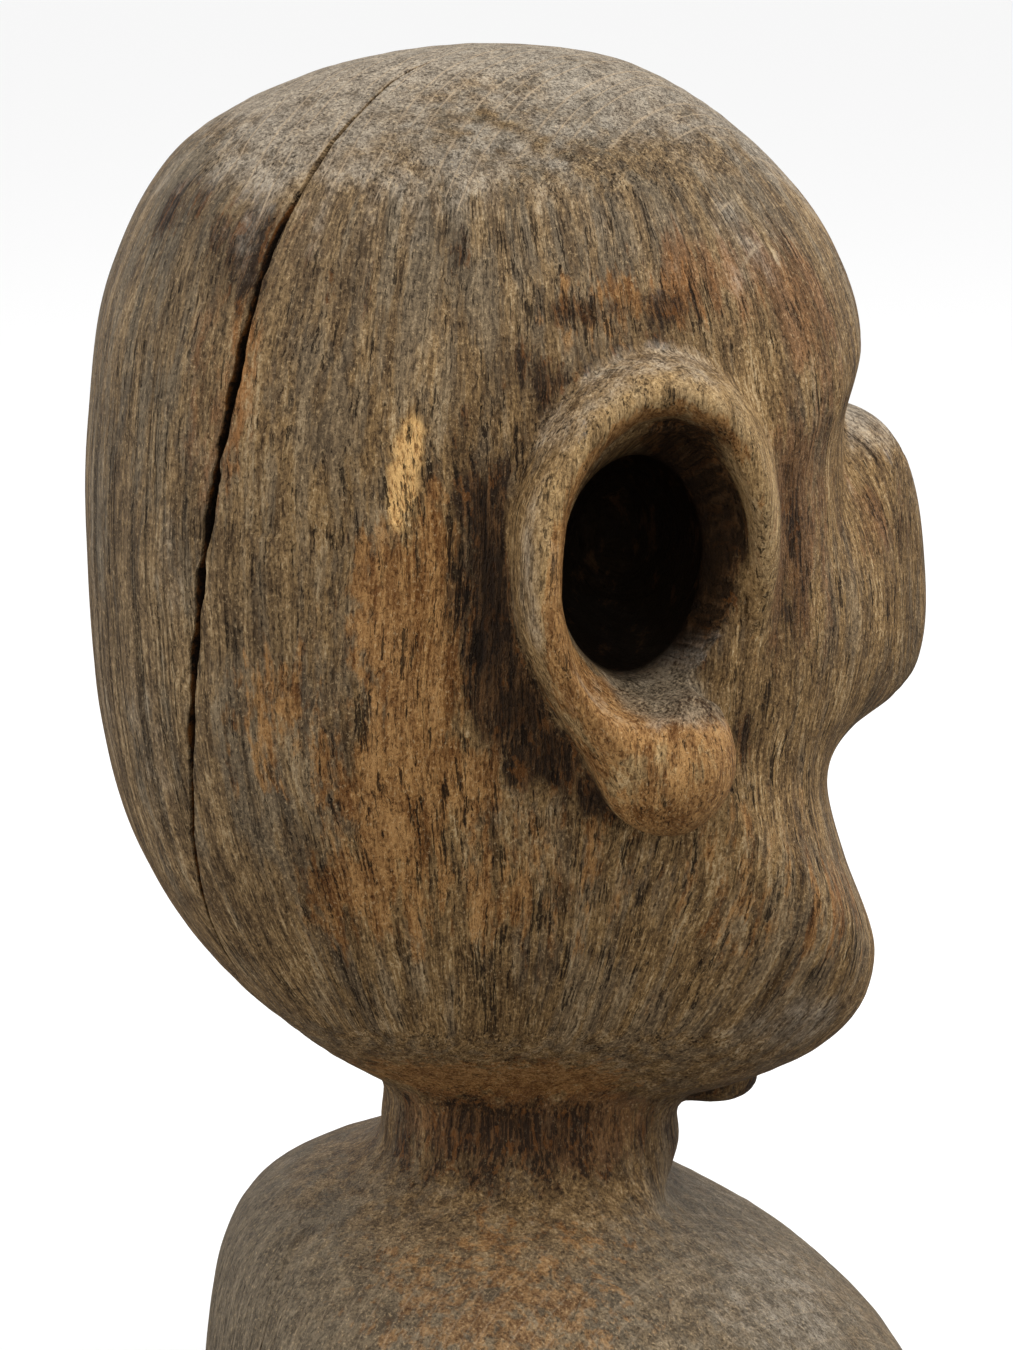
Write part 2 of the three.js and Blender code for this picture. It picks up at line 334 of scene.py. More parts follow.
def figure_distance(p):
    """Distance to the whole carving's surface in millimetres, negative inside the wood."""
    result = blend_union(head_distance(p), torso_distance(p), NECK_FILLET)
    foot = smoothstep(p[:, 2], BROW_Z, NOSE_FOOT_Z)
    nose_fillet = BROW_FILLET + (NOSE_FILLET - BROW_FILLET) * foot
    result = blend_union(result, nose_distance(p), nose_fillet)
    result = blend_union(result, oval_distance(p, NUB_MIDDLE, NUB_HALF), NUB_FILLET)
    m = mirrored(p)
    by_ear = ((m > EAR_BOX[0]) & (m < EAR_BOX[1])).all(1)
    if by_ear.any():
        e = m[by_ear]
        ear = blend_union(rim_distance(e), oval_distance(e, LOBE_MIDDLE, LOBE_HALF), LOBE_FILLET)
        joined = blend_union(result[by_ear], ear, EAR_FILLET)
        result[by_ear] = blend_cut(joined, hole_distance(e), RIM_EDGE)
    eye = np.hypot(m[:, 0] - EYE_MIDDLE[0], m[:, 2] - EYE_MIDDLE[1]) - EYE_RADIUS
    result = blend_cut(result, np.maximum(eye, p[:, 1] - EYE_FLOOR_Y), DRILLED_EDGE)
    result = blend_cut(result, oval_distance(p, MOUTH_MIDDLE, MOUTH_HALF), DRILLED_EDGE)
    return np.maximum(result, -p[:, 2])


def in_batches(distance, p, size=40000):
    """Distances of many points, worked out in batches to spare memory."""
    parts = [distance(p[i : i + size]) for i in range(0, len(p), size)]
    return np.concatenate(parts) if parts else np.zeros(0)


def sampled_field(distance, low, counts, cell):
    """Distances on a grid: exact near the surface, and only roughly known far from it."""
    coarse_step = 4
    coarse_counts = [(n - 1) // coarse_step + 2 for n in counts]
    grid = np.indices(coarse_counts).reshape(3, -1).T
    coarse = in_batches(distance, low + grid * cell * coarse_step).reshape(coarse_counts)
    nearest = [
        np.minimum((np.arange(n) + coarse_step // 2) // coarse_step, m - 1)
        for n, m in zip(counts, coarse_counts)
    ]
    field = coarse[np.ix_(*nearest)]
    close = np.abs(field) < 2 * coarse_step * cell
    field[close] = in_batches(distance, low + np.argwhere(close) * cell)
    return field


def net_of_quads(field):
    """The closed net of quads through the cells where a field of numbers changes its sign.

    A cell's point is the mean of the places where the surface crosses its edges, and each crossed
    edge gets one quad through the four cells round it.
    """
    around_edge = ((0, 0), (1, 0), (1, 1), (0, 1))
    inside = field < 0
    shape = np.array(field.shape) - 1
    corners = [
        inside[i : i + shape[0], j : j + shape[1], k : k + shape[2]]
        for i in (0, 1)
        for j in (0, 1)
        for k in (0, 1)
    ]
    count = sum(corner.astype(np.int8) for corner in corners)
    mixed = (count > 0) & (count < 8)
    cells = np.argwhere(mixed)
    number = np.full(shape, -1)
    number[mixed] = np.arange(len(cells))
    total = np.zeros((len(cells), 3))
    hits = np.zeros(len(cells))
    quads = []
    for axis in range(3):
        unit = np.eye(3, dtype=int)[axis]
        b, c = (axis + 1) % 3, (axis + 2) % 3
        for across in around_edge:
            offset = np.zeros(3, int)
            offset[b], offset[c] = across
            start = cells + offset
            first = field[tuple(start.T)]
            last = field[tuple((start + unit).T)]
            crossed = (first < 0) != (last < 0)
            share = first[crossed] / (first[crossed] - last[crossed])
            total[crossed] += offset + share[:, None] * unit
            hits[crossed] += 1
        edges = np.argwhere(np.diff(inside, axis=axis))
        edges = edges[(edges[:, b] > 0) & (edges[:, c] > 0)]
        around = []
        for back_b, back_c in around_edge:
            cell_place = edges.copy()
            cell_place[:, b] -= back_b
            cell_place[:, c] -= back_c
            around.append(number[tuple(cell_place.T)])
        around = np.stack(around, axis=1)
        leaving = inside[tuple(edges.T)]
        around[~leaving] = around[~leaving][:, ::-1]
        quads.append(around)
    return cells + total / hits[:, None], np.concatenate(quads)


def slope_of(distance, p, value):
    """How fast a distance grows in each direction at points where its value is known."""
    step = 0.05
    return np.stack(
        [(in_batches(distance, p + step * unit) - value) / step for unit in np.eye(3)], axis=1
    )


def carved_net(cell):
    """Points in millimetres, outward directions and quads of the carving's bare form."""
    counts = np.ceil((GRID_HIGH - GRID_LOW) / cell).astype(int) + 1
    places, quads = net_of_quads(sampled_field(figure_distance, GRID_LOW, counts, cell))
    p = GRID_LOW + places * cell
    least_steep = 0.3
    for _ in range(2):
        value = in_batches(figure_distance, p)
        slope = slope_of(figure_distance, p, value)
        steep = np.maximum((slope**2).sum(1), least_steep)
        p = p - np.clip(value / steep, -cell, cell)[:, None] * slope
    outward = slope / np.linalg.norm(slope, axis=1)[:, None]
    return p, outward, quads


# The wood's own directions, seen from above: across its rays and along its rays. Round the head
# the grain spreads from this middle, and this far from it the marks have their own width. That
# starts and ends over these heights, and fades towards the ears and far from the middle.
ACROSS_RAYS = np.array([0.656, 0.754])
ALONG_RAYS = np.array([-0.754, 0.656])
GRAIN_MIDDLE = np.array([0.0, 5.0])
GRAIN_RADIUS = 56
GRAIN_LEAST_RADIUS = 12
GRAIN_LOW_Z = (90, 104)
GRAIN_HIGH_Z = (258, 240)
GRAIN_BY_EARS = (61, 46)
GRAIN_FAR_OUT = (77, 70)
RAY_REPEAT = 9.5


def in_wood(p):
    """Points in the wood's own directions. Round the head the grain runs down the surface."""
    away = p[:, :2] - GRAIN_MIDDLE
    far = np.maximum(np.hypot(away[:, 0], away[:, 1]), GRAIN_LEAST_RADIUS)
    round_head = smoothstep(p[:, 2], *GRAIN_LOW_Z) * smoothstep(p[:, 2], *GRAIN_HIGH_Z)
    round_head *= smoothstep(np.abs(p[:, 0]), *GRAIN_BY_EARS) * smoothstep(far, *GRAIN_FAR_OUT)
    flat = away * (round_head * GRAIN_RADIUS / far + 1 - round_head)[:, None]
    return np.stack([flat @ ACROSS_RAYS, flat @ ALONG_RAYS, p[:, 2]], axis=1)


def lattice_number(corner, seed):
    """A settled number from 0 to 1 for each corner of a lattice, from its scattered bits."""
    keep = np.int64(0xFFFFFFFF)
    h = corner[:, 0] * 73856093 ^ corner[:, 1] * 19349663 ^ corner[:, 2] * 83492791
    h = (h ^ (seed * 2654435761)) & keep
    h = ((h ^ (h >> 15)) * 739982445) & keep
    h = ((h ^ (h >> 13)) * 695872825) & keep
    return (h ^ (h >> 16)) / 4294967295.0


def unevenness(p, size, seed):
    """Smooth settled numbers from -1 to 1 that change over the given lengths."""
    q = p / np.array(size, float)
    corner = np.floor(q).astype(np.int64)
    t = q - corner
    t = t * t * (3 - 2 * t)
    total = np.zeros(len(p))
    for step in np.ndindex(2, 2, 2):
        weight = np.prod(np.where(step, t, 1 - t), axis=1)
        total += weight * lattice_number(corner + np.array(step), seed)
    return 2 * total - 1


def waves(p, table):
    """The sum of some waves, from rows of their height, their lengths and their seed."""
    return sum(height * unevenness(p, lengths, seed) for height, lengths, seed in table)


# Old cracks in the wood: places on the surface, each with the gap's width, and how deep they go.
# They point at a line in the head's middle, less steeply than straight at its heart.
CRACKS = [
    (
        [
            (-17.5, 16.5, 264.5, 0.3),
            (-20, 20.5, 262, 0.5),
            (-33, 35, 249, 0.9),
            (-39.5, 43.5, 235, 1.4),
            (-43.5, 49.5, 214, 1.8),
            (-43.3, 53.3, 197, 1.8),
            (-41.2, 56, 174, 1.7),
            (-37.4, 57, 152, 1.5),
            (-31.6, 56.5, 135, 0.9),
            (-21, 51.5, 114, 0.5),
            (-18, 49, 109.5, 0.3),
        ],
        19.0,
    ),
    ([(-40.2, 56.3, 152, 0.25), (-38.6, 56.4, 145, 0.4), (-37.1, 56.4, 138, 0.25)], 4.0),
    (
        [
            (-20.4, 38.6, 64, 0.3),
            (-22.5, 40.5, 61, 0.45),
            (-28.7, 44.4, 55.2, 0.6),
            (-31.5, 47.4, 47, 0.6),
            (-34, 48.5, 34, 0.5),
            (-36, 49, 20, 0.3),
        ],
        7.0,
    ),
    ([(-44, -7.4, 63.8, 0.2), (-51, -3, 60.5, 0.35), (-58.5, 1.2, 55.6, 0.2)], 3.0),
    ([(30, 53.5, 205, 0.2), (33, 54.5, 182, 0.4), (33.5, 53.8, 160, 0.2)], 4.0),
]
CRACK_AIM = np.array([0.0, 4.0, 175.0])
CRACK_TILT = 0.35
CRACK_SPACING = 0.8
CRACK_WANDER = [(0.22, (50, 50, 4.3), 21), (0.1, (50, 50, 1.7), 22)]
CRACK_GAPE = [(0.35, (50, 50, 3.1), 23), (0.2, (50, 50, 1.3), 24)]

# How far in the rings of a crack's blade are, with the share of its width there. The last two are
# at a share of its depth.
BLADE_RINGS = ((-4.0, 1.0), (0.8, 0.95), (2.2, 0.85))
BLADE_END_RINGS = ((0.6, 0.6), (1.0, 0.1))
UNDERSIDE_BLOCK = ((-95, 95), (-95, 85), (-12, 0))

# Where the weather and hands have marked the sides: the middle of a patch on the right side, how
# far it reaches across and up the wood, and how strong it is. The left side has them fainter.
# Some dark patches are painted shade: in the ear's funnel, and behind the right ear mixed with
# stains. The pale grey patches on the ear's crest are a painted highlight.
DARK_PATCHES = [
    # Behind the right ear: stains, darkened further as painted shade where the standing ear shades the
    # head
    (-55, 14, 207, 4.5, 7, 0.3),
    (-56, 13, 196, 4.5, 8, 0.5),
    (-57, 12, 183, 4, 10, 0.9),
    (-57, 15, 182, 5, 6, 0.4),
    (-57, 11.5, 172, 4.5, 9, 0.95),
    (-56, 8, 162, 5, 7, 0.95),
    (-55, 2, 154, 6, 6, 0.85),
    (-54, -6, 147, 6, 5, 0.6),
    (-53, 5, 216, 7, 5, 0.5),
    (-50, -4, 225, 10, 3, 0.5),
    (-50, -19, 225, 9, 3, 0.55),
    (-46, 14, 231, 2.5, 6, 0.35),
    (-36, 46, 232, 8, 12, 0.65),
    (-46, -44, 190, 8, 18, 0.5),
    (-44, -42, 170, 6, 10, 0.4),
    (-48, -32, 155, 6, 7, 0.4),
    (-49, -31, 144, 5, 6, 0.25),
    (-12, -64, 190, 9, 16, 0.3),
    # In the ear's funnel: painted shade
    (-46, -22, 200, 5, 6, 0.8),
    (-48, -28, 192, 5, 10, 1.0),
    (-46, -23, 178, 5, 9, 0.9),
    (-42, 31, 228, 9, 8, 0.45),
    (-48, 36, 178, 12, 22, 0.25),
    (-30, 3, 82, 13, 7, 0.7),
    (-20, 53, 238, 9, 7, 0.7),
    (-47, 15, 234, 6, 9, 0.2),
    (-52, 31, 200, 4, 14, 0.35),
    (-45, 36, 200, 5, 10, 0.3),
    (-44, 38, 130, 4, 12, 0.45),
    (-40, 50, 120, 8, 12, 0.3),
    (-28, -53, 205, 4, 6, 0.5),
    (-65, -5, 209, 6, 6, 0.3),
    (-56, -22, 205, 7, 4, 0.6),
    (-69, 2, 183, 3, 9, 0.15),
]
ORANGE_PATCHES = [
    (-55, 20, 186, 3, 12, 1.0),
    (-55, 27, 180, 6, 12, 0.4),
    (-55, 20, 168, 4, 14, 0.9),
    (-52, 25, 150, 7, 14, 0.8),
    (-45, 32, 129, 9, 12, 0.55),
    (-54, 14, 151, 5, 5, 0.7),
    (-48, -15, 226, 18, 7, 0.45),
    (-50, 44, 157, 10, 16, 0.4),
    (-45, -34, 123, 13, 15, 0.15),
    (-33, -52, 123, 9, 12, 0.35),
    (-28, 13, 92, 20, 5, 0.8),
    (-27, -5, 91, 14, 5, 0.6),
    (-46, 8, 60, 26, 14, 0.5),
    (-11, -58, 161, 7, 9, 0.5),
    (-43, 48, 205, 4, 30, 0.4),
    (-50, 10, 128, 12, 12, 0.35),
    (-54, 24, 160, 14, 36, 0.35),
    (-44, -20, 140, 30, 30, 0.25),
]
RED_PATCHES = [
    (-44, -25, 230, 14, 9, 0.6),
    (-36, -43, 226, 9, 14, 0.6),
    (-43, 52, 211, 10, 24, 0.5),
    (-28, 2, 84, 24, 7, 0.8),
    (-44, -44, 190, 14, 30, 0.7),
    (-20, -64, 185, 14, 14, 0.5),
    (-23, -13, 80, 10, 6, 0.9),
    (-17, 16, 80, 9, 5, 0.5),
    (-33, -52, 123, 9, 16, 0.45),
    (-36, 40, 236, 12, 10, 0.4),
]
DUST_AND_HIGHLIGHT_PATCHES = [
    (-30, 63, 150, 9, 18, 0.4),
    (-36, 58, 185, 4, 12, 0.5),
    (-31, -46, 101, 12, 7, 0.7),
    (-31, -47, 51, 26, 10, 0.5),
    (-10, 67, 175, 8, 40, 0.5),
    (-36, 46, 234, 8, 8, 0.3),
    # Along the right ear's crest: a painted highlight where the light from above catches it
    (-66, 8, 200, 4, 8, 0.5),
    (-67, 7, 188, 4, 9, 0.6),
    (-67, 5, 177, 3, 7, 0.5),
    (-66, -2, 168, 2.5, 5, 0.45),
]
TORN_PATCHES = [
    (-50, 3, 128, 26, 24, 0.95),
    (-55, 18, 152, 12, 26, 0.8),
    (-46, -18, 230, 26, 14, 0.6),
    (-44, -44, 165, 14, 40, 0.5),
    (-56, 12, 190, 14, 26, 0.6),
    (-36, -50, 120, 16, 20, 0.5),
]
LINED_PATCHES = [
    (-26, 64, 176, 20, 52, 1.0),
    (-44, 46, 160, 12, 34, 0.6),
    (0, 72, 180, 40, 60, 0.9),
    (0, 56, 30, 60, 40, 0.8),
]

# The flake that has come off beside the right ear
CHIP_MIDDLE = np.array([-54.8, 23.6, 200.6])
CHIP_LEAN = 0.16
CHIP_HALF_WIDTH = 2.5
CHIP_WIDENING = 0.042
CHIP_HALF_HEIGHT = 9.4
CHIP_DEPTH = 0.6

# The rough ledge below an ear's hole
SHELF_MIDDLE = np.array([53, -20, 163.5])
SHELF_HALF = np.array([16, 15, 5.5])

# Small gouges: middle, half width, half height and depth
GOUGES = [
    (-46.2, 49.6, 186.9, 2.2, 1.2, 0.5),
    (-48.4, 45.6, 190.7, 2.4, 1.0, 0.5),
    (-38.3, -1.7, 249.4, 4.0, 3.0, 0.5),
    (-33, 10, 252, 5.0, 4.0, 0.35),
    (-36.2, -50.7, 206.6, 2.4, 1.6, 0.6),
    (-24, 44, 247, 4.0, 3.0, 0.3),
    (-68, 0.5, 180.4, 2.2, 1.1, 0.9),
]

# The numbers that the mesh's points carry for the wood's finish and its painted light and shade, as
# wear_masks gives them
MARKS = (
    "crack", "ear_hole", "dark", "orange", "red", "dust",
    "worn", "shelf", "fresh", "torn", "lined",
)

# The waves of the worn surface, in the wood's own directions: swells left by the carver's blade,
# ridges along the grain where the surface is steep, and pits across it where it faces up
SWELLS = [(0.3, (34, 30, 38), 1), (0.16, (13, 12, 17), 2), (0.1, (6, 6, 9), 3)]
RIDGES = [(0.11, (3.4, 3.4, 38), 4), (0.08, (2.4, 2.4, 14), 5)]
END_GRAIN = [(0.07, (2.6, 2.6, 2.6), 6), (0.05, (2.2, 40, 40), 7)]
RAGGED_EDGES = [(0.6, (4, 4, 14), 41), (0.4, (1.8, 1.8, 6), 42)]


def patches(p, table, left_share=0.55):
    """How strongly each point is marked, from 0 to 1, from a table of patches."""
    m = np.stack([-np.abs(p[:, 0]), p[:, 1], p[:, 2]], axis=1)
    clear = np.ones(len(p))
    for x, y, z, across, up, amount in table:
        away = m - (x, y, z)
        gap = (away[:, 0] ** 2 + away[:, 1] ** 2) / across**2 + (away[:, 2] / up) ** 2
        clear *= 1 - amount * np.exp(-gap)
    on_right = smoothstep(-p[:, 0], -8, 8)
    return (1 - clear) * (left_share + (1 - left_share) * on_right)


def chip_mask(p):
    """Where a shallow flake has come off beside the right ear."""
    q = p - CHIP_MIDDLE
    lean = q[:, 1] + CHIP_LEAN * q[:, 2]
    wide = CHIP_HALF_WIDTH + CHIP_WIDENING * q[:, 2]
    ragged = 0.16 * unevenness(p, (1.6, 1.6, 2.2), 31)
    gap = np.sqrt((lean / wide) ** 2 + (q[:, 2] / CHIP_HALF_HEIGHT) ** 2) + ragged
    on_right = p[:, 0] < -40
    return np.where(on_right, smoothstep(gap, 1.12, 0.88), 0)


def beside_crack(p, reach):
    """How near each point is to a crack's mouth: 1 at the mouth, falling to 0 at the reach."""
    near = np.zeros(len(p))
    for rows, _ in CRACKS:
        path = np.array(rows)
        for a, b in zip(path[:-1, :3], path[1:, :3]):
            step = b - a
            t = np.clip((p - a) @ step / (step @ step), 0, 1)
            gap = np.linalg.norm(p - a - t[:, None] * step, axis=1)
            near = np.maximum(near, 1 - smoothstep(gap, 0, reach))
    return near


def shelf_mask(p):
    """Where the rough, dusty ledge below an ear's hole is."""
    q = (mirrored(p) - SHELF_MIDDLE) / SHELF_HALF
    return smoothstep(1 - np.linalg.norm(q, axis=1), 0, 0.4)


def relief(p, outward, depth, grain_depth):
    """How far the worn surface stands out from the bare form, in millimetres."""
    g = in_wood(p)
    steep = smoothstep(1 - np.abs(outward[:, 2]), 0.25, 0.7)
    grain = steep * waves(g, RIDGES) + (1 - steep) * waves(g, END_GRAIN)
    rise = waves(g, SWELLS) - 0.03 + grain_depth / RIDGES[0][0] * grain
    rise *= depth / SWELLS[0][0]
    rise += shelf_mask(p) * (0.45 * unevenness(p, (2.6, 2.6, 2.6), 8) - 0.2)
    by_rim = smoothstep(np.abs(p[:, 0]), 58, 64)
    rise += by_rim * 0.16 * unevenness(p, (5, 4, 5), 9)
    rise -= CHIP_DEPTH * chip_mask(p) * (1 + 0.3 * unevenness(p, (2.2, 2.2, 6), 10))
    rise -= 0.35 * beside_crack(p, 2.2)
    for x, y, z, wide, high, deep in GOUGES:
        q = (p - (x, y, z)) / (wide, wide, high)
        ring = np.linalg.norm(q, axis=1) + 0.5 * unevenness(p, (2.1, 2.1, 2.1), 11)
        rise -= deep * smoothstep(ring, 1.1, 0.3)
    return rise


def blade_mesh(rows, depth):
    """A closed, ragged blade in millimetres, as wide as the crack and pointing into the head."""
    path = smooth_path(rows, spacing=CRACK_SPACING)
    middle, width = path[:, :3], path[:, 3]
    inward = (CRACK_AIM - middle) * (1, 1, CRACK_TILT)
    inward /= np.linalg.norm(inward, axis=1)[:, None]
    forward = np.gradient(middle, axis=0)
    sideways = np.cross(forward, inward)
    sideways /= np.linalg.norm(sideways, axis=1)[:, None]
    wander = waves(middle, CRACK_WANDER)
    half = 0.5 * width * np.clip(1 + waves(middle, CRACK_GAPE), 0.4, 1.6)
    reach = depth * np.clip(width / 1.2, 0.35, 1.0)
    levels = BLADE_RINGS + tuple((share * reach, scale) for share, scale in BLADE_END_RINGS)
    rings = []
    for side, steps in ((-1, levels), (1, levels[::-1])):
        for inner, scale in steps:
            offset = wander + side * np.maximum(half * scale, 0.03)
            inward_by = np.reshape(np.minimum(inner, reach), (-1, 1))
            rings.append(middle + inward * inward_by + sideways * offset[:, None])
    points = np.stack(rings, axis=1).reshape(-1, 3)
    sides = len(rings)
    faces = []
    for start in range(0, len(points) - sides, sides):
        for i in range(sides):
            a, b = start + i, start + (i + 1) % sides
            faces.append((a, b, b + sides, a + sides))
    faces.append(tuple(range(sides - 1, -1, -1)))
    faces.append(tuple(range(len(points) - sides, len(points))))
    return points, faces


def new_object(name, points, faces):
    """A mesh object made from points in millimetres, with its faces turned outward."""
    mesh = bpy.data.meshes.new(name)
    mesh.from_pydata([tuple(p) for p in points * MM], [], [tuple(f) for f in faces])
    shape = bmesh.new()
    shape.from_mesh(mesh)
    bmesh.ops.recalc_face_normals(shape, faces=shape.faces)
    if shape.calc_volume(signed=True) < 0:
        bmesh.ops.reverse_faces(shape, faces=shape.faces)
    shape.to_mesh(mesh)
    shape.free()
    piece = bpy.data.objects.new(name, mesh)
    bpy.context.scene.collection.objects.link(piece)
    return piece


def apply_modifiers(piece):
    """Keeps what the modifiers make of the piece's mesh, and takes them off."""
    ready = piece.evaluated_get(bpy.context.evaluated_depsgraph_get())
    mesh = bpy.data.meshes.new_from_object(ready)
    piece.modifiers.clear()
    old = piece.data
    piece.data = mesh
    bpy.data.meshes.remove(old)
    mesh.name = piece.name


def cutter_for_cracks():
    """One object with every crack's blade, and a block that cuts the underside flat."""
    points, faces = [], []
    for rows, depth in CRACKS:
        more_points, more_faces = blade_mesh(rows, depth)
        start = sum(len(p) for p in points)
        points.append(more_points)
        faces += [tuple(start + i for i in face) for face in more_faces]
    start = sum(len(p) for p in points)
    across, deep, high = UNDERSIDE_BLOCK
    points.append(np.array([(x, y, z) for x in across for y in deep for z in high], float))
    for face in ((0, 1, 3, 2), (4, 6, 7, 5), (0, 4, 5, 1), (2, 3, 7, 6), (0, 2, 6, 4), (1, 5, 7, 3)):
        faces.append(tuple(start + i for i in face))
    return new_object("crack_blades", np.concatenate(points), faces)


def mesh_points(mesh):
    """A mesh's points in millimetres."""
    p = np.empty(len(mesh.vertices) * 3)
    mesh.vertices.foreach_get("co", p)
    return p.reshape(-1, 3) / MM


def mesh_outward(mesh):
    """The outward direction at each of a mesh's points."""
    n = np.empty(len(mesh.vertices) * 3)
    mesh.vertex_normals.foreach_get("vector", n)
    return n.reshape(-1, 3)


def wear_masks(p, outward):
    """Numbers from 0 to 1 for each point, by mark, that tell the finish where the wood has changed and
    where light and shade are painted on.
    """
    ragged = waves(in_wood(p), RAGGED_EDGES)

    # Deeper inside the cracks and inside the ear holes, where the finish paints the wood dark as
    # painted shade
    sunk = -in_batches(figure_distance, p)
    crack = smoothstep(sunk, 0.7, 1.5) * (1 - chip_mask(p))
    m = mirrored(p)
    hole = hole_distance(m)
    in_hole = smoothstep(-hole, -2.2, -0.2) * smoothstep(m[:, 0], 51, 42)

    # Dark in the ear's funnel and on the neck as painted shade, and where the ear meets the head and
    # under the jaw as painted shade with some staining
    by_ear = rim_distance(m)
    below_crest = CREST_OUT + CREST_SLOPE * np.minimum(p[:, 1], 0) - m[:, 0]
    funnel = smoothstep(hole, 6.5, 1.0) * smoothstep(-p[:, 1], 8, 24) * smoothstep(below_crest, 1.5, 7)
    root = smoothstep(by_ear, 7, 0.5) * (0.3 + 0.7 * smoothstep(by_ear, 0.1, 1.0))
    root *= smoothstep(below_crest, 6, 14)
    below = smoothstep(-outward[:, 2], 0.1, 0.8) * smoothstep(p[:, 2], 128, 100)
    neck = smoothstep(np.abs(p[:, 2] - 78), 13, 4)
    dark = patches(p, DARK_PATCHES) + 0.45 * root + 0.4 * funnel + 0.1 * below + 0.4 * neck
    dark = np.clip(dark * (1 + 0.35 * ragged) + 0.16 * ragged * smoothstep(dark, 0.02, 0.3), 0, 1)

    # Orange and red on handled wood, and along the ear's edges and lobe. The orange on the inner edge
    # of the ear's hole is a painted highlight.
    orange = patches(p, ORANGE_PATCHES)
    rim_top = smoothstep(by_ear, 1.5, -0.5) * smoothstep(below_crest, 15, 7)
    lobe = smoothstep(oval_distance(m, LOBE_MIDDLE, LOBE_HALF), 1.5, 0.2) * smoothstep(m[:, 0], 54, 62)
    # The inner edge of the ear's hole, painted orange as a painted highlight
    highlit_lip = smoothstep(hole, 5.0, 1.5) * smoothstep(m[:, 0], 54, 60) * (1 - lobe)
    low_rim = rim_top * smoothstep(p[:, 2], 186, 160)
    orange = np.clip((orange + 0.5 * lobe + 0.4 * low_rim + 0.6 * highlit_lip) * (1 + 0.4 * ragged), 0, 1)
    red = np.clip(patches(p, RED_PATCHES) * (1 + 0.4 * ragged), 0, 1)

    # Dust on what faces up, more of it higher up, which also stands in as a painted sheen of the light
    # from above. Pale wear on the crest.
    wide = 0.1 * unevenness(p, (13, 13, 13), 43)
    upward = smoothstep(outward[:, 2] + 0.14 * ragged + 2.2 * wide, 0.35, 0.95)
    off_ear = 1 - 0.5 * smoothstep(by_ear, 2.5, 0.5) * smoothstep(p[:, 2], 130, 140)
    dust = patches(p, DUST_AND_HIGHLIGHT_PATCHES, 0.8)
    dust += upward * (0.1 + 0.85 * smoothstep(p[:, 2], 120, 200)) * off_ear
    dust = np.clip(dust * (1 + 0.25 * ragged), 0, 1)
    worn = np.clip(rim_top * smoothstep(below_crest, 8, 1) + lobe * 0.9, 0, 1)

    shelf = shelf_mask(p) * smoothstep(outward[:, 2], -0.2, 0.4)
    fresh = chip_mask(p)
    torn = np.clip(patches(p, TORN_PATCHES, 0.9) * (1 + 0.4 * ragged), 0, 1)
    lined = patches(p, LINED_PATCHES, 1.0)
    numbers = (crack, in_hole, dark, orange, red, dust, worn, shelf, fresh, torn, lined)
    return dict(zip(MARKS, numbers))


class Value:
    """A shader socket. An expression with it adds the Math or Vector Math nodes that it needs."""

    def __init__(self, maker, socket):
        self.maker = maker
        self.socket = socket

    def is_vector(self):
        return self.socket.type in {"VECTOR", "RGBA"}

    def math(self, operation, first, second):
        vectors = [
            value.is_vector() if isinstance(value, Value) else isinstance(value, tuple)
            for value in (first, second)
        ]
        kind = "ShaderNodeVectorMath" if any(vectors) else "ShaderNodeMath"
        if all(vectors) or not any(vectors):
            return self.maker.add(kind, {"operation": operation}, {0: first, 1: second})
        if operation != "MULTIPLY":
            raise TypeError("a vector and a number can only be multiplied")
        vector, number = (first, second) if vectors[0] else (second, first)
        return self.maker.add(kind, {"operation": "SCALE"}, {0: vector, 3: number})

    def __add__(self, other):
        return self.math("ADD", self, other)

    def __radd__(self, other):
        return self.math("ADD", other, self)

    def __sub__(self, other):
        return self.math("SUBTRACT", self, other)

    def __rsub__(self, other):
        return self.math("SUBTRACT", other, self)

    def __mul__(self, other):
        return self.math("MULTIPLY", self, other)

    def __rmul__(self, other):
        return self.math("MULTIPLY", other, self)

    def __pow__(self, other):
        return self.math("POWER", self, other)

    def alone(self, operation):
        """This number put through a Math operation that takes no second one."""
        return self.maker.add("ShaderNodeMath", {"operation": operation}, {0: self})

    def along(self, direction):
        """How far this vector reaches in a direction."""
        inputs = {0: self, 1: direction}
        return self.maker.add("ShaderNodeVectorMath", {"operation": "DOT_PRODUCT"}, inputs, "Value")

    def vein(self, middle, width):
        """1 where this number is at the middle value, falling to 0 at the width: thin winding lines."""
        return (self - middle).alone("ABSOLUTE").rising(width, 0.0)

    def rising(self, low, high):
        """0 below low, 1 above high and smooth between. With high below low it falls instead."""
        settings = {"interpolation_type": "SMOOTHSTEP"}
        ends = (low, high, 0.0, 1.0) if high > low else (high, low, 1.0, 0.0)
        return self.maker.add("ShaderNodeMapRange", settings, {0: self, **dict(enumerate(ends, 1))})


